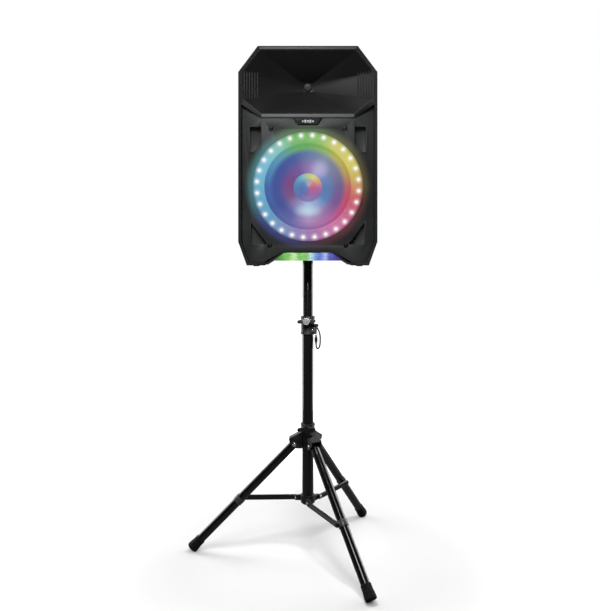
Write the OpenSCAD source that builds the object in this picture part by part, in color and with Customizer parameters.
// Powered party loudspeaker with a lit woofer ring, on a folding tripod stand.
// Origin: on the floor, on the mast's axis. +Z up, the loudspeaker's front faces -Y.

/* [Cabinet] */
// Widest half-width of the cabinet's front
cab_half_w = 203; // [190:1:215]
// Height of the cabinet
cab_h = 640; // [620:1:660]
// Height of the cabinet's feet above the floor with the mast as stored
cab_z = 907; // [895:1:960]
// Front face, measured back from the mast's axis
front_y = -165; // [-175:1:-155]
// Rear face, measured from the mast's axis
rear_y = 157; // [145:1:175]
// Wall of the cabinet shell
wall = 4; // [3:0.5:6]
// Half-width of the top edge between the chamfers
top_half_w = 146; // [135:1:155]
// Drop of the upper chamfers
top_chamfer = 76; // [60:1:90]
// Half-width of the feet's outer edges
foot_half_w = 178; // [170:1:185]
// Rise of the lower chamfers
low_chamfer = 69; // [60:1:80]
// Width of the shell's front rim
rim = 9; // [8:0.5:11]

/* [Woofer and light ring] */
// Height of the woofer's centre above the cabinet's feet
woofer_z = 231; // [225:1:240]
// Radius of the opening for the cone
woofer_r = 127; // [120:1:130]
// Outer radius of the light ring
ring_r = 160; // [155:1:165]
// Radius of the circle of lights
led_r = 149; // [145:1:152]
// Number of lights in the ring
led_count = 28; // [12:1:36]
// Radius of the dust cap
cap_r = 43; // [35:1:50]

/* [Horn] */
// Height of the horn's throat above the cabinet's feet
throat_z = 538; // [530:1:545]
// Distance of the throat behind the front face
throat_depth = 87; // [75:1:105]
// Radius of the throat
throat_r = 13; // [12:0.5:16]
// Number of ribs on each wing
rib_count = 6; // [3:1:7]

/* [Pole] */
// Outer diameter of the mast
mast_d = 32; // [30:0.5:33]
// Outer diameter of the column
column_d = 35; // [34:0.5:36]
// Diameter of the pole cup's bore
cup_d = 36; // [36:0.1:37]
// Outer diameter of the adaptor sleeve
sleeve_d = 35; // [34.5:0.1:35.5]
// Height of the column's top
column_top = 702; // [700:1:706]
// Height of the mast's lower end
mast_low = 400; // [390:1:420]

/* [Tripod] */
// Angle of a leg from vertical
leg_angle = 44.2; // [43:0.1:45]
// Diameter of a leg
leg_d = 27; // [25:0.5:27]
// Distance of a leg's pivot from the axis
leg_pivot_r = 41.5; // [41:0.5:43]
// Height of a leg's pivot
leg_pivot_z = 344.6; // [340:0.1:350]
// Distance along the leg from its pivot to the brace's pivot
brace_at = 251; // [245:1:255]
// Distance of a brace's inner pivot from the axis
brace_pivot_r = 39.4; // [39:0.1:41]
// Height of a brace's inner pivot
brace_pivot_z = 169; // [165:0.1:172]
// Turn of the three legs about the column
leg_turn = -2.2; // [-10:0.1:10]
// Azimuth that both clamping knobs face
knob_turn = -97; // [-120:1:-80]

/* [Hidden] */

// General clearances: a running fit, and a gap between pieces that pass each other
fit = 0.05;
gap = 0.3;
eps = 0.01;

// Front outline, inset by i. Heights are above the cabinet's feet.
function front_outline(i) = [
    [-top_half_w + 0.4 * i, cab_h - i], [top_half_w - 0.4 * i, cab_h - i],
    [cab_half_w - i, cab_h - top_chamfer - 0.3 * i], [cab_half_w - i, low_chamfer + 0.2 * i],
    [foot_half_w - 0.8 * i, i], [-foot_half_w + 0.8 * i, i],
    [-cab_half_w + i, low_chamfer + 0.2 * i], [-cab_half_w + i, cab_h - top_chamfer - 0.3 * i],
];

// Half-width and height of the rear face
rear_half_w = 148;
rear_h = 596;

// Arch under the cabinet, and the seam between horn moulding and baffle
arch_foot = 127;
arch_top = 70;
arch_h = 37;
function arch_outline(g) = [
    [-arch_foot - g, -5], [-arch_foot - g, 0], [-arch_top - 0.5 * g, arch_h + g],
    [arch_top + 0.5 * g, arch_h + g], [arch_foot + g, 0], [arch_foot + g, -5],
];
seam_side = 470;
seam_z = 430;
tab_z = 409;
function seam(g) = [
    [-cab_half_w - 9, seam_side + 13 - g], [-138, seam_z - g], [-44.6, seam_z - g],
    [-29.5, tab_z - g], [29.5, tab_z - g], [44.6, seam_z - g], [138, seam_z - g],
    [cab_half_w + 9, seam_side + 13 - g],
];

// Depths of the front section and the straight part of the shell
panel_y = front_y + 2;
panel_t = 5;
facet_x = 135;
facet_drop = 14;
straight_y = front_y + 75;
panel_in = rim + 0.4;

// Horn mouth
mouth_top = 629;
mouth_low = 442;
mouth_half_w = 137;
wing_x = 194;
wing_top = 563;
wing_low = 488;
throat_y = front_y + throat_depth;

// Rear control panel
rp_half_w = 105;
rp_low = 250;
rp_high = 420;
rp_y = rear_y - 9;

// Pole cup and the mast's top
roof_z = cab_z + arch_h;
cup_low = roof_z - 4;
cup_depth = 84;
mast_top = cup_low + cup_depth - 3.1;

// Collar, hub and knobs
collar_low = 688;
collar_high = 744;
collar_r = 22;
lug_turn = -40;
lug_r = 25.5;
lug_z = collar_low + 12;
mast_knob_z = 731;
hub_low = 332;
hub_high = 408;
hub_knob_z = 396;
hub_r = 22.5;

// Tripod: derived lengths
leg_az = [180 + leg_turn, -60 + leg_turn, 60 + leg_turn];
leg_len = leg_pivot_z / cos(leg_angle);
brace_out_r = leg_pivot_r + brace_at * sin(leg_angle);
brace_out_z = leg_pivot_z - brace_at * cos(leg_angle);
brace_dr = brace_out_r - brace_pivot_r;
brace_dz = brace_out_z - brace_pivot_z;
brace_len = sqrt(brace_dr * brace_dr + brace_dz * brace_dz);
brace_tilt = atan2(brace_dz, brace_dr);
brace_side = 17;
brace_t = 5;
brace_h = 16;

// Safety pin and lanyard hanging from the collar's eyelet
pin_y = -5;
pin_x = 25.8;
eyelet = [28.5, pin_y, 716];
lanyard_d = 4.6;
lanyard_route = [
    [28.5, -5, 711], [29.4, -5, 707.4], [32.4, -5, 702], [35.6, -5, 695.5], [37.8, -5, 687.5],
    [38.8, -5, 678], [38.9, -5, 669], [38.6, -5, 661], [37.6, -5, 653], [35.4, -5, 646.5],
    [32.2, -5, 643], [29, -5, 643.8], [27, -5, 647.8], [26.1, -5, 653.5],
    [25.8, -5, 659.5],
];

// --- helpers -------------------------------------------------------------------------------

// Draws a shape of the (x, z) plane from depth y0 back to y1, above the cabinet's feet
module front_slab(y0, y1) {
    translate([0, y1, cab_z]) rotate([90, 0, 0]) linear_extrude(y1 - y0) children();
}

// Cylinder along Y at (x, z above the feet)
module rod_y(r, y0, y1, x = 0, z = 0, fn = 64) {
    translate([x, y0, cab_z + z]) rotate([-90, 0, 0]) cylinder(r = r, h = y1 - y0, $fn = fn);
}

// Ring along Y
module ring_y(r_out, r_in, y0, y1, x = 0, z = 0, fn = 96) {
    difference() {
        rod_y(r_out, y0, y1, x, z, fn);
        rod_y(r_in, y0 - 1, y1 + 1, x, z, fn);
    }
}

// Turns a profile of (radius, depth) about an axis along Y
module turned_y(x, z, fn = 96) {
    translate([x, 0, cab_z + z]) rotate([-90, 0, 0]) rotate_extrude($fn = fn) children();
}

module tube_z(r_out, r_in, z0, z1, fn = 64) {
    difference() {
        translate([0, 0, z0]) cylinder(r = r_out, h = z1 - z0, $fn = fn);
        translate([0, 0, z0 - 1]) cylinder(r = r_in, h = z1 - z0 + 2, $fn = fn);
    }
}

// Places a child in a leg's own frame: +Z down the leg, +Y across it
module along_leg(k) {
    rotate([0, 0, leg_az[k]]) translate([leg_pivot_r, 0, leg_pivot_z])
        rotate([0, 180 - leg_angle, 0]) children();
}

// Cylinder across a leg's plane at radius r and height z, between side offsets
module cross_rod(k, radius, side0, side1, r, z, fn = 32) {
    rotate([0, 0, leg_az[k]]) translate([r, side0, z]) rotate([-90, 0, 0])
        cylinder(r = radius, h = side1 - side0, $fn = fn);
}

// Plate across a leg's plane: an outline of (radius, height) between side offsets
module cross_plate(k, side0, side1) {
    rotate([0, 0, leg_az[k]]) translate([0, side1, 0]) rotate([90, 0, 0])
        linear_extrude(side1 - side0) children();
}

// --- cabinet -------------------------------------------------------------------------------

// Cabinet solid inset by i: the front outline, narrowed behind straight_y in plan and in side view
module cabinet_body(i, y0, y1) {
    intersection() {
        front_slab(y0, y1) polygon(front_outline(i));
        translate([0, 0, cab_z - 1]) linear_extrude(cab_h + 2) polygon([
            [-cab_half_w + i, y0 - 1], [cab_half_w - i, y0 - 1], [cab_half_w - i, straight_y],
            [rear_half_w - i, y1 + 1], [-rear_half_w + i, y1 + 1], [-cab_half_w + i, straight_y],
        ]);
        translate([-cab_half_w - 1, 0, cab_z]) rotate([90, 0, 90])
            linear_extrude(2 * cab_half_w + 2) polygon([
                [y0 - 1, -1], [y0 - 1, cab_h - i + 0.5], [straight_y, cab_h - i],
                [y1 + 1, rear_h - i], [y1 + 1, -1],
            ]);
    }
}

// Grip pocket in each side wall, from its floor at grip_x outwards, widened by g
grip_x = 148;
grip_y = [-60, 40];
grip_z = [355, 400];
module grip_box(side, g) {
    x = side > 0 ? grip_x - g : -cab_half_w - 40;
    translate([x, grip_y[0] - g, cab_z + grip_z[0] - g])
        cube([cab_half_w + 40 - grip_x + g, grip_y[1] - grip_y[0] + 2 * g,
              grip_z[1] - grip_z[0] + 2 * g]);
}

module cabinet_shell() {
    color("#26282a") difference() {
        union() {
            difference() {
                cabinet_body(0, front_y, rear_y);
                cabinet_body(wall, front_y - 5, rear_y - wall);
            }
            // front rim
            difference() {
                front_slab(front_y + 0.5, front_y + 6) polygon(front_outline(1));
                front_slab(front_y - 1, front_y + 7) polygon(front_outline(rim));
            }
            // arch walls
            front_slab(front_y + 1, rear_y - 1) intersection() {
                polygon(arch_outline(wall));
                polygon(front_outline(1));
            }
            // grip pocket walls
            intersection() {
                for (side = [-1, 1]) grip_box(side, wall);
                cabinet_body(1, front_y, rear_y);
            }
        }
        front_slab(front_y - 5, rear_y + 5) polygon(arch_outline(0));
        for (side = [-1, 1]) grip_box(side, 0);
        translate([0, 0, roof_z - 5]) cylinder(d = 47, h = 20, $fn = 64);
        front_slab(rear_y - wall - 2, rear_y + 5)
            polygon([[-rp_half_w, rp_low], [rp_half_w, rp_low],
                     [rp_half_w, rp_high], [-rp_half_w, rp_high]]);
    }
}

module cabinet_feet() {
    color("#151515") for (side = [-1, 1], y = [front_y + 12, rear_y - 62])
        translate([side * (y > 0 ? 137 : 152) - 8, y, cab_z - 2.5]) cube([16, 50, 2.5]);
}

// Bent front plate: flat centre, sides falling back, seen from above
module bent_plate(y, t) {
    translate([0, 0, cab_z]) linear_extrude(cab_h) polygon([
        [-cab_half_w, y + facet_drop + 2], [-facet_x, y], [facet_x, y],
        [cab_half_w, y + facet_drop + 2], [cab_half_w, y + facet_drop + 2 + t],
        [facet_x, y + t], [-facet_x, y + t], [-cab_half_w, y + facet_drop + 2 + t],
    ]);
}

function inset_lower(i) = [
    [cab_half_w - i, low_chamfer + 0.2 * i], [foot_half_w - 0.8 * i, i],
    [arch_foot + 1.6, i], [arch_top + 0.6, arch_h + 4.5], [-arch_top - 0.6, arch_h + 4.5],
    [-arch_foot - 1.6, i], [-foot_half_w + 0.8 * i, i], [-cab_half_w + i, low_chamfer + 0.2 * i],
];

module baffle_outline() {
    intersection() {
        polygon(concat(seam(0.6), inset_lower(panel_in)));
        polygon(front_outline(panel_in));
    }
}

// Dark pockets beside the light ring and in the lower corners
module side_pocket(side, g) {
    polygon([for (p = [[137 - g, 405 + g], [170 + g, 405 + g], [170 + g, 332 - g],
                       [160, 332 - g], [137 - g, 352 - g]]) [side * p[0], p[1]]]);
}
module corner_pocket(side, g) {
    polygon([for (p = [[118 - g, 62 - g], [166 + g, 62 - g], [166 + g, 126 + 2 * g]])
             [side * p[0], p[1]]]);
}

module front_baffle() {
    pocket_y = panel_y + 22;
    color("#373a39") difference() {
        union() {
            intersection() {
                bent_plate(panel_y, panel_t);
                front_slab(front_y - 5, front_y + 40) baffle_outline();
            }
            rod_y(ring_r + 3.5, front_y + 0.8, front_y + 15, 0, woofer_z, 128);
            for (side = [-1, 1]) {
                front_slab(panel_y + 4.5, pocket_y) side_pocket(side, 2.4);
                front_slab(panel_y + 5.5, pocket_y) corner_pocket(side, 2.4);
            }
        }
        for (side = [-1, 1]) {
            front_slab(front_y - 5, pocket_y - 2.5) side_pocket(side, 0);
            front_slab(front_y - 5, pocket_y - 2.5) corner_pocket(side, 0);
            for (p = [[108, 399], [111, 58]])
                rod_y(2.2, front_y - 5, front_y + 30, side * p[0], p[1], 24);
        }
        rod_y(woofer_r - 1, front_y - 5, front_y + 60, 0, woofer_z, 128);
        rod_y(ring_r + 0.2, front_y - 5, front_y + 5.2, 0, woofer_z, 128);
        ring_y(157.5, 140, front_y, front_y + 9.7, 0, woofer_z, 128);
        // rebate for the surround's flange
        rod_y(woofer_r + 9.4, front_y + 13.5, front_y + 16, 0, woofer_z, 128);
    }
}

// Space inside the horn's mouth, widened by g
module horn_space(g) {
    y_front = panel_y - 2.5;
    hull() {
        front_slab(y_front, y_front + 1) polygon([
            [-top_half_w + 3 - g, mouth_top + g], [top_half_w - 3 + g, mouth_top + g],
            [wing_x + g, wing_top], [wing_x + g, wing_low],
            [mouth_half_w + g, mouth_low - g], [-mouth_half_w - g, mouth_low - g],
            [-wing_x - g, wing_low], [-wing_x - g, wing_top],
        ]);
        translate([-17 - g, throat_y - 1, cab_z + throat_z - throat_r - g])
            cube([34 + 2 * g, 1 + (g > 0 ? 3 : 0), 2 * throat_r + 2 * g]);
    }
}

module horn_flare() {
    rib_pitch = 7.6;
    color("#1b1c1d") difference() {
        union() {
            difference() {
                union() {
                    front_slab(panel_y, panel_y + 4) intersection() {
                        polygon(concat([[cab_half_w, cab_h], [-cab_half_w, cab_h]], seam(0)));
                        polygon(front_outline(panel_in));
                    }
                    front_slab(front_y + 0.4, front_y + 3)
                        polygon([[-136, 431], [136, 431], [136, 441], [-136, 441]]);
                    intersection() {
                        horn_space(3);
                        front_slab(panel_y + 2, throat_y + 6) polygon(front_outline(wall + 1));
                    }
                }
                horn_space(0);
            }
            intersection() {
                horn_space(-0.01);
                for (side = [-1, 1], i = [0 : rib_count - 1])
                    translate([side * (186 - rib_pitch * i) - 1.6,
                               panel_y + (wing_x - 186 + rib_pitch * i) * 0.47 - 3,
                               cab_z + wing_low - 5])
                        cube([3.2, 12, wing_top - wing_low + 10]);
            }
        }
        rod_y(throat_r, throat_y - 5, throat_y + 20, 0, throat_z, 48);
    }
}

module throat_plug() {
    color("#4c4e4e") turned_y(0, throat_z, 48) polygon([
        [0, throat_y - 7], [7, throat_y - 6], [11, throat_y - 3], [12.6, throat_y + 1],
        [12.6, throat_y + 4], [4, throat_y + 14], [0, throat_y + 18],
    ]);
}

module compression_driver() {
    y = throat_y + 6.1;
    color("#3a3a3c") difference() {
        union() {
            rod_y(38, y, y + 8, 0, throat_z, 64);
            rod_y(20, y + 8, y + 16, 0, throat_z, 48);
            rod_y(45, y + 16, y + 46, 0, throat_z, 64);
            rod_y(30, y + 46, y + 52, 0, throat_z, 48);
        }
        rod_y(13.2, y - 1, y + 20, 0, throat_z, 48);
    }
}

// --- woofer --------------------------------------------------------------------------------

seat_y = front_y + 15.1;
magnet_y = seat_y + 80;

module woofer_basket() {
    color("#2c2d2e") difference() {
        turned_y(0, woofer_z, 128) polygon([
            [128, seat_y], [152, seat_y], [152, seat_y + 3], [131, seat_y + 3],
            [128, seat_y + 14], [76, magnet_y - 12], [76, magnet_y], [28, magnet_y],
            [28, magnet_y - 3], [73, magnet_y - 3], [73, magnet_y - 13.5], [125, seat_y + 12.6],
        ]);
        for (i = [0 : 5]) translate([0, 0, cab_z + woofer_z]) rotate([0, 60 * i, 0])
            translate([-26, seat_y + 20, 60]) cube([52, magnet_y - seat_y - 36, 80]);
        for (i = [0 : 7]) translate([0, 0, cab_z + woofer_z]) rotate([0, 45 * i + 22.5, 0])
            translate([0, seat_y - 1, 145]) rotate([-90, 0, 0])
            cylinder(r = 2.5, h = 8, $fn = 24);
    }
}

module woofer_magnet() {
    color("#5a5c5e") union() {
        ring_y(62, 28, magnet_y + 0.1, magnet_y + 6, 0, woofer_z, 96);
        ring_y(70, 34, magnet_y + 6, magnet_y + 26, 0, woofer_z, 96);
        rod_y(62, magnet_y + 26, magnet_y + 33, 0, woofer_z, 96);
        rod_y(24, magnet_y + 0.1, magnet_y + 27, 0, woofer_z, 64);
    }
}

cone_y = seat_y - 2;
module woofer_cone() {
    color("#2b2c38") turned_y(0, woofer_z, 128) polygon([
        [116, cone_y], [118, cone_y], [118, cone_y + 1.6], [80, cone_y + 22],
        [45, cone_y + 37], [28, cone_y + 43], [27.2, cone_y + 41.4], [44, cone_y + 35],
        [79, cone_y + 20.4],
    ]);
}

// Half-roll of the surround: radius of its middle, and of its section
roll_at = 121.95;
roll_r = 3.9;

module woofer_surround() {
    color("#17171a") translate([0, 0, cab_z + woofer_z]) rotate([-90, 0, 0])
        rotate_extrude($fn = 128) difference() {
            union() {
                translate([roll_at, cone_y + 1]) circle(r = roll_r, $fn = 32);
                translate([roll_at + roll_r - 1, cone_y + 0.6])
                    square([woofer_r + 9 - roll_at - roll_r + 1, 1.1]);
            }
            translate([roll_at, cone_y + 1]) circle(r = roll_r - 1.2, $fn = 32);
            translate([110, cone_y + 1.7]) square([30, 10]);
        }
}

module woofer_spider() {
    y = cone_y + 43.5;
    color("#a0783c") turned_y(0, woofer_z, 96) polygon([
        [26.6, y], [34, y + 1.5], [42, y - 1.5], [50, y + 1.5], [58, y - 1.5], [66, y],
        [72.8, y], [72.8, y + 1], [66, y + 1], [58, y - 0.5], [50, y + 2.5], [42, y - 0.5],
        [34, y + 2.5], [26.6, y + 1],
    ]);
}

module voice_coil() {
    color("#b87333") ring_y(26.5, 25.4, cone_y + 41.6, magnet_y + 9, 0, woofer_z, 96);
}

module dust_cap() {
    depth = cone_y + 36.2;
    color("#4a4d68") turned_y(0, woofer_z, 96) polygon([
        [0, depth - 14], [12, depth - 13.2], [24, depth - 10.4], [34, depth - 6],
        [cap_r - 0.4, depth - 1.6], [cap_r - 0.4, depth - 0.6], [33, depth - 4.8],
        [23, depth - 9.2], [12, depth - 12], [0, depth - 12.8],
    ]);
}

// --- light ring and light bar --------------------------------------------------------------

module led_ring_lens() {
    color("#6fc0d8") difference() {
        union() {
            ring_y(ring_r, woofer_r, front_y, front_y + 5, 0, woofer_z, 128);
        }
        ring_y(153, 145, front_y + 2.6, front_y + 6, 0, woofer_z, 128);
    }
}

module led_ring_board() {
    color("#e8e8e0") ring_y(157, 141, front_y + 7.6, front_y + 9.2, 0, woofer_z, 128);
}

module ring_leds() {
    color("white") for (i = [0 : led_count - 1])
        translate([0, 0, cab_z + woofer_z]) rotate([0, 5.2 + i * 360 / led_count, 0])
            translate([-2.5, front_y + 4.6, led_r - 2.5]) cube([5, 3, 5]);
}

bar_y = front_y + 4;
module base_light() {
    color("#7ad06a") difference() {
        front_slab(bar_y, bar_y + 14)
            polygon([[-102, 14], [102, 14], [69.8, arch_h - 0.3], [-69.8, arch_h - 0.3]]);
        front_slab(bar_y + 3, bar_y + 12.5)
            polygon([[-95, 17], [95, 17], [67.5, arch_h - 3], [-67.5, arch_h - 3]]);
    }
}

module base_light_board() {
    color("#e8e8e0") union() {
        front_slab(bar_y + 10, bar_y + 12)
            polygon([[-80, 19], [80, 19], [66, arch_h - 5], [-66, arch_h - 5]]);
        for (i = [-3 : 3]) translate([i * 20 - 2.5, bar_y + 7.8, cab_z + 22])
            cube([5, 2.3, 5]);
    }
}

module badge_plate() {
    color("#3c3e3e") front_slab(panel_y - 2.2, panel_y)
        polygon([[-39, seam_z - 1.6], [39, seam_z - 1.6], [26.5, tab_z + 2.2],
                 [-26.5, tab_z + 2.2]]);
}

module baffle_screws() {
    color("#202122") for (side = [-1, 1], p = [[108, 399], [111, 58]]) {
        difference() {
            rod_y(4.6, panel_y - 2.4, panel_y - 0.02, side * p[0], p[1], 32);
            rod_y(2.1, panel_y - 3, panel_y - 1, side * p[0], p[1], 6);
        }
        rod_y(2, panel_y - 0.6, panel_y + 16, side * p[0], p[1], 24);
    }
}

module pole_cup() {
    color("#1d1e1f") difference() {
        union() {
            translate([0, 0, cup_low]) cylinder(r = 40, h = roof_z - cup_low, $fn = 64);
            translate([0, 0, cup_low]) cylinder(r = 23, h = cup_depth + 4, $fn = 64);
        }
        translate([0, 0, cup_low - 1]) cylinder(d = cup_d, h = cup_depth + 1, $fn = 96);
        for (i = [0 : 3]) rotate([0, 0, 45 + 90 * i]) translate([32, 0, cup_low - 1])
            cylinder(r = 2.3, h = 8, $fn = 24);
    }
}

// --- rear controls -------------------------------------------------------------------------

knob_pos = [[-62, 375], [-10, 375]];
button_pos = [[38, 385], [66, 385]];
rocker_pos = [78, 292];
jack_pos = [[-72, 322], [-40, 322]];
inlet_pos = [78, 330];

module rear_panel() {
    color("#1e1f20") difference() {
        union() {
            front_slab(rp_y, rp_y + 3)
                polygon([[-rp_half_w + 0.4, rp_low + 0.4], [rp_half_w - 0.4, rp_low + 0.4],
                         [rp_half_w - 0.4, rp_high - 0.4], [-rp_half_w + 0.4, rp_high - 0.4]]);
            difference() {
                front_slab(rear_y - wall - 5, rear_y + 2)
                    polygon([[-rp_half_w + 0.4, rp_low + 0.4], [rp_half_w - 0.4, rp_low + 0.4],
                             [rp_half_w - 0.4, rp_high - 0.4], [-rp_half_w + 0.4, rp_high - 0.4]]);
                front_slab(rear_y - wall - 6, rear_y + 3)
                    polygon([[-rp_half_w + 5, rp_low + 5], [rp_half_w - 5, rp_low + 5],
                             [rp_half_w - 5, rp_high - 5], [-rp_half_w + 5, rp_high - 5]]);
            }
        }
        for (p = knob_pos) rod_y(4.05, rp_y - 2, rp_y + 5, p[0], p[1], 32);
        for (p = button_pos) rod_y(6.35, rp_y - 2, rp_y + 5, p[0], p[1], 32);
        for (p = jack_pos) rod_y(6, rp_y - 2, rp_y + 5, p[0], p[1], 32);
        translate([rocker_pos[0] - 7.4, rp_y - 2, cab_z + rocker_pos[1] - 11.4])
            cube([14.8, 8, 22.8]);
        translate([inlet_pos[0] - 12, rp_y - 2, cab_z + inlet_pos[1] - 9]) cube([24, 8, 18]);
    }
}

module panel_knob(p, r) {
    difference() {
        union() {
            rod_y(4, rp_y - 6, rp_y + 3.6, p[0], p[1], 32);
            rod_y(r, rp_y + 3.4, rp_y + 15, p[0], p[1], 48);
            rod_y(r - 2, rp_y + 15, rp_y + 16, p[0], p[1], 48);
        }
        for (i = [0 : 11]) translate([p[0], 0, cab_z + p[1]]) rotate([0, 30 * i, 0])
            translate([0, rp_y + 5, r + 0.4]) rotate([-90, 0, 0])
            cylinder(r = 1.5, h = 12, $fn = 16);
        translate([p[0] - 0.8, rp_y + 14.5, cab_z + p[1] + 3]) cube([1.6, 3, r]);
    }
}

module volume_knob() {
    color("#2a2b2c") panel_knob(knob_pos[0], 16);
}

module mic_knob() {
    color("#2a2b2c") panel_knob(knob_pos[1], 12);
}

module panel_button(p) {
    rod_y(6, rp_y - 1.5, rp_y + 6, p[0], p[1], 32);
    rod_y(7.2, rp_y - 4, rp_y - 1.4, p[0], p[1], 32);
}

module play_button() {
    color("#565a5c") panel_button(button_pos[0]);
}

module light_button() {
    color("#565a5c") panel_button(button_pos[1]);
}

// Rocker: a shallow V across its pivot, tipped to one side
module power_rocker() {
    color("#141414") translate([rocker_pos[0], rp_y, cab_z + rocker_pos[1]])
        rotate([90, 0, 90]) {
            translate([0, 0, -7]) linear_extrude(14) polygon([
                [-6, -4], [0.6, -10.4], [4.2, -10.4], [1.8, 0], [1.2, 10.4], [-0.6, 10.4],
                [-6, 4],
            ]);
            translate([0, 0, -7.3]) cylinder(r = 1.1, h = 14.6, $fn = 24);
        }
}

module input_jacks() {
    color("#b9bcc0") for (p = jack_pos) difference() {
        union() {
            rod_y(5.9, rp_y - 24, rp_y + 4.5, p[0], p[1], 32);
            ring_y(8, 5.9, rp_y + 3.05, rp_y + 5.4, p[0], p[1], 32);
        }
        rod_y(3.3, rp_y - 21, rp_y + 8, p[0], p[1], 32);
    }
}

module power_inlet() {
    x = inlet_pos[0];
    z = cab_z + inlet_pos[1];
    color("#101010") difference() {
        union() {
            translate([x - 11.8, rp_y - 18, z - 8.8]) cube([23.6, 20, 17.6]);
            translate([x - 15, rp_y + 3.05, z - 11]) cube([30, 2, 22]);
            translate([x - 11.8, rp_y + 1, z - 8.8]) cube([23.6, 3, 17.6]);
        }
        translate([x - 8.5, rp_y - 13, z - 5.5]) cube([17, 25, 11]);
    }
}

module amp_board() {
    y = rp_y - 44;
    color("#2f6b3c") union() {
        translate([-92, y, cab_z + 262]) cube([150, 1.6, 146]);
        for (x = [-80, -60, -40]) translate([x, y - 17.9, cab_z + 275])
            rotate([-90, 0, 0]) cylinder(r = 8, h = 18, $fn = 32);
        translate([-20, y - 10, cab_z + 300]) cube([30, 10.1, 22]);
        translate([20, y - 7, cab_z + 340]) cube([24, 7.1, 24]);
        for (x = [-88, 50]) translate([x, y + 1.5, cab_z + 266]) cube([5, 42.4, 5]);
        for (x = [-88, 50]) translate([x, y + 1.5, cab_z + 398]) cube([5, 42.4, 5]);
    }
}

module heat_sink() {
    y = rp_y - 44;
    color("#8d9093") union() {
        translate([-80, y - 24, cab_z + 365]) cube([90, 23.9, 4]);
        for (i = [0 : 8]) translate([-80 + i * 11, y - 24, cab_z + 369]) cube([2, 23.9, 26]);
    }
}

module power_transformer() {
    color("#8a5a2a") union() {
        translate([-45, -10, cab_z + arch_h + wall + 0.1]) difference() {
            translate([-60, 20, 0]) cube([56, 50, 48]);
            translate([-50, 15, 10]) cube([12, 60, 28]);
            translate([-26, 15, 10]) cube([12, 60, 28]);
        }
        translate([-96, 5, cab_z + arch_h + wall + 10.2]) cube([38, 60, 27.8]);
    }
}

// --- column and mast -----------------------------------------------------------------------

column_low = brace_pivot_z - 9;

module column_tube() {
    color("#141516") tube_z(column_d / 2, mast_d / 2 + 0.4, column_low, column_top, 96);
}

module column_end_cap() {
    color("#0e0e0e") union() {
        translate([0, 0, column_low - 4]) cylinder(d = column_d, h = 3.98, $fn = 64);
        translate([0, 0, column_low - 1]) cylinder(d = mast_d + 0.7, h = 20, $fn = 64);
    }
}

module clamp_collar() {
    r_mast = mast_d / 2 + fit;
    color("#1a1b1c") difference() {
        union() {
            translate([0, 0, collar_low])
                cylinder(r = collar_r - 1, h = collar_high - collar_low - 2, $fn = 64);
            translate([0, 0, collar_high - 8]) cylinder(r = collar_r, h = 8, $fn = 64);
            translate([0, 0, collar_low]) cylinder(r = collar_r, h = 6, $fn = 64);
            // boss of the knob's thread
            rotate([0, 0, knob_turn]) translate([0, 0, mast_knob_z]) rotate([0, 90, 0])
                cylinder(r = 9, h = 28, $fn = 48);
            // split lugs at the right front
            rotate([0, 0, lug_turn]) translate([17, -7, collar_low + 2]) cube([14, 14, 22]);
            // eyelet arm at the right
            translate([16, pin_y - 7.4, eyelet[2] - 5]) cube([eyelet[0] - 16, 4.4, 10]);
            translate([eyelet[0], pin_y - 3, eyelet[2]]) rotate([90, 0, 0])
                cylinder(r = 5, h = 4.4, $fn = 32);
            translate([eyelet[0], pin_y + 2, eyelet[2]]) rotate([90, 0, 0])
                cylinder(r = 2.2, h = 6, $fn = 32);
            translate([eyelet[0], pin_y + 2.9, eyelet[2]]) rotate([90, 0, 0])
                cylinder(r = 3.6, h = 1.4, $fn = 32);
        }
        translate([0, 0, column_top]) cylinder(r = r_mast, h = 60, $fn = 96);
        translate([0, 0, collar_low - 1])
            cylinder(d = column_d + 0.02, h = column_top - collar_low + 1, $fn = 96);
        rotate([0, 0, knob_turn]) translate([0, 0, mast_knob_z]) rotate([0, 90, 0])
            cylinder(r = 5 + fit, h = 40, $fn = 32);
        rotate([0, 0, lug_turn]) {
            translate([16, -1.2, collar_low - 1]) cube([20, 2.4, 40]);
            translate([lug_r, -10, lug_z]) rotate([-90, 0, 0]) cylinder(r = 2.6, h = 20, $fn = 24);
        }
    }
}

module collar_bolts() {
    color("#b8babd") rotate([0, 0, lug_turn]) translate([lug_r, 0, lug_z]) {
        translate([0, -7.05, 0]) rotate([-90, 0, 0]) cylinder(r = 2.5, h = 14.1, $fn = 24);
        translate([0, -10, 0]) rotate([-90, 0, 0]) cylinder(r = 4.2, h = 3, $fn = 24);
        translate([0, 7, 0]) rotate([-90, 30, 0]) cylinder(r = 4.6, h = 3.2, $fn = 6);
    }
}

// Reach of the clamping knobs' wings, from the knob's axis, with room to turn
knob_sweep = 29.5;

// Clamping knob: a round core with two wings, on a threaded stem. It faces +X here.
module clamp_knob(stem_r, start, reach) {
    rotate([0, 90, 0]) translate([0, 0, start]) cylinder(r = stem_r, h = reach - start, $fn = 32);
    rotate([0, 90, 0]) translate([0, 0, reach - 0.1]) cylinder(r = 11, h = 11, $fn = 48);
    rotate([0, 90, 0]) translate([0, 0, reach + 0.4]) cylinder(r = 12.6, h = 7, $fn = 48);
    for (side = [-1, 1]) hull() {
        translate([reach + 1, side * 8, 0]) rotate([0, 90, 0]) cylinder(r = 7, h = 7, $fn = 24);
        translate([reach + 4, side * 23, side * 1.5]) rotate([0, 90, 0])
            cylinder(r = 5.4, h = 6, $fn = 24);
    }
}

module mast_knob() {
    color("#161616") rotate([0, 0, knob_turn]) translate([0, 0, mast_knob_z])
        clamp_knob(5, mast_d / 2 + 0.5, 29);
}

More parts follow.
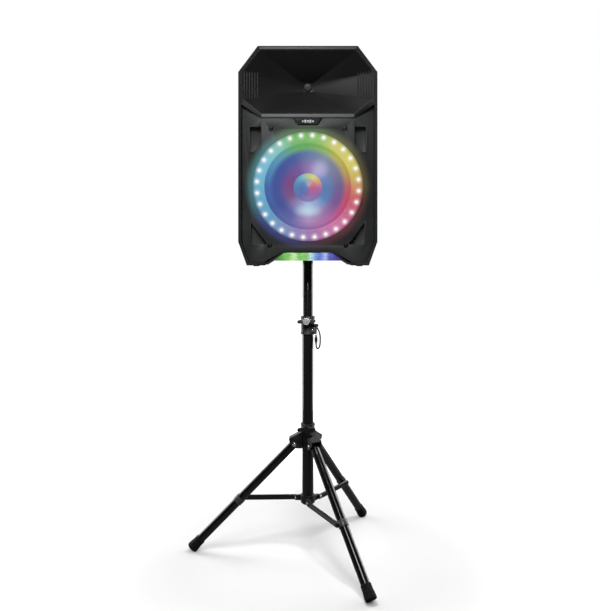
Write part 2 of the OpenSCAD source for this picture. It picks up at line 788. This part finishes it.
module mast_knob_cap() {
    color("#c9ccd0") rotate([0, 0, knob_turn]) translate([0, 0, mast_knob_z])
        rotate([0, 90, 0]) translate([0, 0, 40]) rotate_extrude($fn = 48)
        polygon([[0, 0], [11.5, 0], [11.5, 1.4], [9.5, 2.6], [0, 3]]);
}

module mast_tube() {
    color("#141516") difference() {
        tube_z(mast_d / 2, mast_d / 2 - 1.5, mast_low, mast_top, 96);
        for (z = [868, 718, 568]) translate([-40, 0, z]) rotate([0, 90, 0])
            cylinder(r = 4.2, h = 80, $fn = 32);
    }
}

module mast_guide() {
    color("#202020") union() {
        translate([0, 0, mast_low - 6]) cylinder(r = mast_d / 2 + 0.1, h = 5.98, $fn = 64);
        translate([0, 0, mast_low - 1]) cylinder(r = mast_d / 2 - 1.52, h = 16, $fn = 64);
    }
}

module pole_adaptor() {
    color("#191a1a") difference() {
        translate([0, 0, cup_low + 2]) cylinder(d = sleeve_d, h = cup_depth - 2.05, $fn = 96);
        translate([0, 0, cup_low + 1])
            cylinder(r = mast_d / 2 + fit, h = mast_top + 0.02 - cup_low - 1, $fn = 96);
    }
}

// --- safety pin ----------------------------------------------------------------------------

// Unit direction of the route at point i
function route_dir(p, i) =
    let (a = p[max(i - 1, 0)], b = p[min(i + 1, len(p) - 1)], d = b - a) d / norm(d);

// Ring of points round the route, which lies in one plane across Y
function route_ring(p, i, r, n) = [for (j = [0 : n - 1])
    let (d = route_dir(p, i), side = [d[2], 0, -d[0]], a = 360 * j / n)
    p[i] + r * (cos(a) * side + sin(a) * [0, 1, 0])];

module swept_tube(p, r, n) {
    m = len(p);
    polyhedron(
        points = [for (i = [0 : m - 1], q = route_ring(p, i, r, n)) q],
        faces = concat(
            [[for (j = [0 : n - 1]) j]],
            [for (i = [0 : m - 2], j = [0 : n - 1])
                [i * n + j, (i + 1) * n + j, (i + 1) * n + (j + 1) % n, i * n + (j + 1) % n]],
            [[for (j = [n - 1 : -1 : 0]) (m - 1) * n + j]]
        )
    );
}

module pin_lanyard() {
    color("#101010") swept_tube(lanyard_route, lanyard_d / 2, 8);
}

// Pin with its knurled grip; the ring at the top end hangs on the collar's eyelet
module safety_pin() {
    color("#1c1c1c") union() {
        translate([pin_x, pin_y, 659.6]) cylinder(r = 3.2, h = 5, $fn = 32);
        translate([pin_x, pin_y, 664.4]) cylinder(r = 4.8, h = 14, $fn = 32);
        translate([pin_x, pin_y, 678.2]) cylinder(r = 2.6, h = 8, $fn = 32);
        translate([eyelet[0], pin_y - 1.2, eyelet[2]]) rotate([-90, 0, 0]) difference() {
            cylinder(r = 4.3, h = 2.4, $fn = 32);
            translate([0, 0, -1]) cylinder(r = 2.2 + fit, h = 5, $fn = 32);
        }
    }
}

// --- tripod --------------------------------------------------------------------------------

// Ear outline: radius and height
ear = [[18, hub_low], [34, hub_low], [47, 336], [56, 349], [59, 362], [40, 372], [18, 384]];
ear_in = leg_d / 2 + 0.5;
ear_t = 3.5;

module leg_hub() {
    color("#1b1c1d") difference() {
        union() {
            translate([0, 0, hub_low]) cylinder(r = hub_r - 1, h = hub_high - hub_low, $fn = 64);
            translate([0, 0, hub_high - 6]) cylinder(r = hub_r, h = 6, $fn = 64);
            for (k = [0 : 2]) {
                cross_plate(k, -ear_in - ear_t, ear_in + ear_t) polygon(ear);
            }
            rotate([0, 0, knob_turn]) translate([0, 0, hub_knob_z]) rotate([0, 90, 0])
                cylinder(r = 9, h = 28, $fn = 48);
        }
        translate([0, 0, hub_low - 1]) cylinder(d = column_d + 2 * fit, h = 90, $fn = 96);
        rotate([0, 0, knob_turn]) translate([0, 0, hub_knob_z]) rotate([0, 90, 0])
            cylinder(r = 5 + fit, h = 40, $fn = 32);
        // Room for the knob's wings to turn over the ears
        rotate([0, 0, knob_turn]) translate([28.6, 0, hub_knob_z]) rotate([0, 90, 0])
            cylinder(r = knob_sweep, h = 13, $fn = 96);
        for (k = [0 : 2]) {
            cross_plate(k, -ear_in, ear_in) polygon([
                [hub_r, hub_low - 1], [62, hub_low - 1], [62, 358.6], [58.4, 359], [40, 367.6],
                [hub_r, 371],
            ]);
            cross_rod(k, 4, -30, 30, leg_pivot_r, leg_pivot_z);
        }
    }
}

module hub_knob() {
    color("#161616") rotate([0, 0, knob_turn]) translate([0, 0, hub_knob_z])
        clamp_knob(5, column_d / 2 + 0.5, 29);
}

module hub_pivot_bolts() {
    side = ear_in + ear_t;
    color("#c4c6c9") for (k = [0 : 2]) {
        cross_rod(k, 3.98, -side - 0.5, side + 0.5, leg_pivot_r, leg_pivot_z);
        cross_rod(k, 6.5, side + 0.02, side + 3.5, leg_pivot_r, leg_pivot_z);
        cross_rod(k, 6.5, -side - 3.5, -side - 0.02, leg_pivot_r, leg_pivot_z);
    }
}

foot_r = 17.3;
foot_top_r = 15.6;
foot_len = 42;
// Sole cut away where the foot's rim stands on the floor
foot_cut = 2;
leg_end = leg_len - (foot_r * sin(leg_angle) - foot_cut) / cos(leg_angle);

module leg(k) {
    color("#131415") along_leg(k) difference() {
        translate([0, 0, -9]) cylinder(d = leg_d, h = leg_end + 2, $fn = 64);
        translate([0, 0, 12]) cylinder(d = leg_d - 3, h = leg_len, $fn = 64);
        translate([0, -30, 0]) rotate([-90, 0, 0]) cylinder(r = 3.98 + fit, h = 60, $fn = 32);
    }
}

// Rubber foot: a blunt flared cap, its rim cut flat where it stands on the floor
module foot(k) {
    color("#0d0d0d") intersection() {
        translate([-600, -600, 0]) cube([1200, 1200, 200]);
        along_leg(k) translate([0, 0, leg_end]) difference() {
            rotate_extrude($fn = 64) polygon([
                [0, -foot_len], [foot_top_r - 1, -foot_len], [foot_top_r, -foot_len + 1],
                [foot_top_r, -24], [foot_r, -12], [foot_r, -1.5], [foot_r - 1.5, 0], [0, 0],
            ]);
            translate([0, 0, -foot_len - 1])
                cylinder(d = leg_d + 0.04, h = foot_len - 6, $fn = 64);
        }
    }
}

module leg_band(k) {
    color("#3b3d3e") difference() {
        union() {
            along_leg(k) translate([0, 0, brace_at - 10]) cylinder(r = 15.6, h = 20, $fn = 64);
            cross_rod(k, 7.5, -brace_side + gap, -8, brace_out_r, brace_out_z);
        }
        along_leg(k) translate([0, 0, brace_at - 40]) cylinder(d = leg_d + 0.04, h = 80, $fn = 64);
    }
}

module brace_hub() {
    color("#191a1b") difference() {
        union() {
            translate([0, 0, column_low]) cylinder(r = 22, h = 24, $fn = 64);
            for (k = [0 : 2]) cross_plate(k, -brace_side + gap, -9.5) polygon([
                [12, column_low + 1.5], [brace_pivot_r, column_low + 1.5],
                [brace_pivot_r + 7, brace_pivot_z - 3], [brace_pivot_r + 7, brace_pivot_z + 4],
                [brace_pivot_r, brace_pivot_z + 8], [12, brace_pivot_z + 11],
            ]);
        }
        translate([0, 0, column_low - 1]) cylinder(d = column_d + 0.02, h = 30, $fn = 96);
        for (k = [0 : 2])
            cross_rod(k, 3, -40, 0, brace_pivot_r, brace_pivot_z);
    }
}

module brace_pivot_bolts() {
    out = brace_side + brace_t + gap;
    color("#c4c6c9") for (k = [0 : 2]) {
        cross_rod(k, 2.98, -out - 1, -9.4, brace_pivot_r, brace_pivot_z);
        cross_rod(k, 5.5, -out - 3, -out, brace_pivot_r, brace_pivot_z);
    }
}

module brace(k) {
    color("#131415") rotate([0, 0, leg_az[k]]) translate([brace_pivot_r, -brace_side, brace_pivot_z])
        rotate([90, -brace_tilt, 0]) difference() {
            union() {
                translate([0, -brace_h / 2, 0]) cube([brace_len, brace_h, brace_t]);
                cylinder(d = brace_h, h = brace_t, $fn = 48);
                translate([brace_len, 0, 0]) cylinder(d = brace_h, h = brace_t, $fn = 48);
                translate([brace_len, 0, brace_t - 0.1]) cylinder(r = 5.5, h = 2.6, $fn = 32);
            }
            translate([0, 0, -1]) cylinder(r = 2.98 + fit, h = brace_t + 2, $fn = 32);
        }
}

module leg_left() { leg(0); }
module leg_front() { leg(1); }
module leg_rear() { leg(2); }
module foot_left() { foot(0); }
module foot_front() { foot(1); }
module foot_rear() { foot(2); }
module leg_band_left() { leg_band(0); }
module leg_band_front() { leg_band(1); }
module leg_band_rear() { leg_band(2); }
module brace_left() { brace(0); }
module brace_front() { brace(1); }
module brace_rear() { brace(2); }

// --- drawing -------------------------------------------------------------------------------

cabinet_shell();
cabinet_feet();
front_baffle();
horn_flare();
throat_plug();
compression_driver();
woofer_basket();
woofer_magnet();
woofer_cone();
woofer_surround();
woofer_spider();
voice_coil();
dust_cap();
led_ring_lens();
led_ring_board();
ring_leds();
base_light();
base_light_board();
badge_plate();
baffle_screws();
pole_cup();
rear_panel();
volume_knob();
mic_knob();
play_button();
light_button();
power_rocker();
input_jacks();
power_inlet();
amp_board();
heat_sink();
power_transformer();
column_tube();
column_end_cap();
clamp_collar();
collar_bolts();
mast_knob();
mast_knob_cap();
mast_tube();
mast_guide();
pole_adaptor();
safety_pin();
pin_lanyard();
leg_hub();
hub_knob();
hub_pivot_bolts();
leg_left();
leg_front();
leg_rear();
foot_left();
foot_front();
foot_rear();
leg_band_left();
leg_band_front();
leg_band_rear();
brace_hub();
brace_pivot_bolts();
brace_left();
brace_front();
brace_rear();
